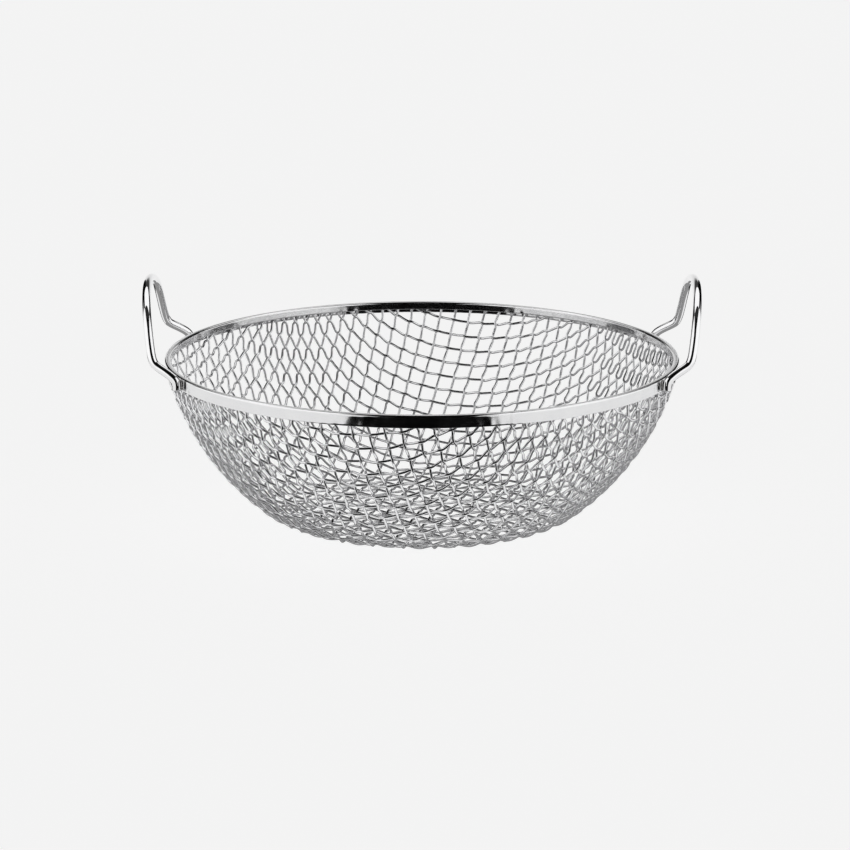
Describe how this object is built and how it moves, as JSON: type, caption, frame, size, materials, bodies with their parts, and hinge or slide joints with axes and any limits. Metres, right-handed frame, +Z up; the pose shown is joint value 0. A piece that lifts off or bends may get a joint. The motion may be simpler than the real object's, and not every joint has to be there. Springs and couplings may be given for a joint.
{
  "type": "wire mesh strainer basket",
  "caption": "Round, flat-bottomed strainer bowl of coarse woven wire cloth with a folded rim band and two upright bent-wire loop handles.",
  "frame": {"origin": "centre of the flat bottom, on the surface that the strainer stands on", "axes": "+Z up out of the open bowl, +X through the middle of the right handle, -Y towards the front"},
  "size_m": [0.323, 0.3, 0.1415],
  "materials": {
    "wire_cloth": "bright drawn stainless wire, crimped and woven",
    "rim_strip": "polished stainless strip, rolled and folded",
    "handle_wire": "bright polished stainless rod"
  },
  "bodies": {
    "root": {"mesh_bowl": "wire_cloth", "rim_band": "rim_strip", "left_handle": "handle_wire", "right_handle": "handle_wire"}
  },
  "joints": []
}
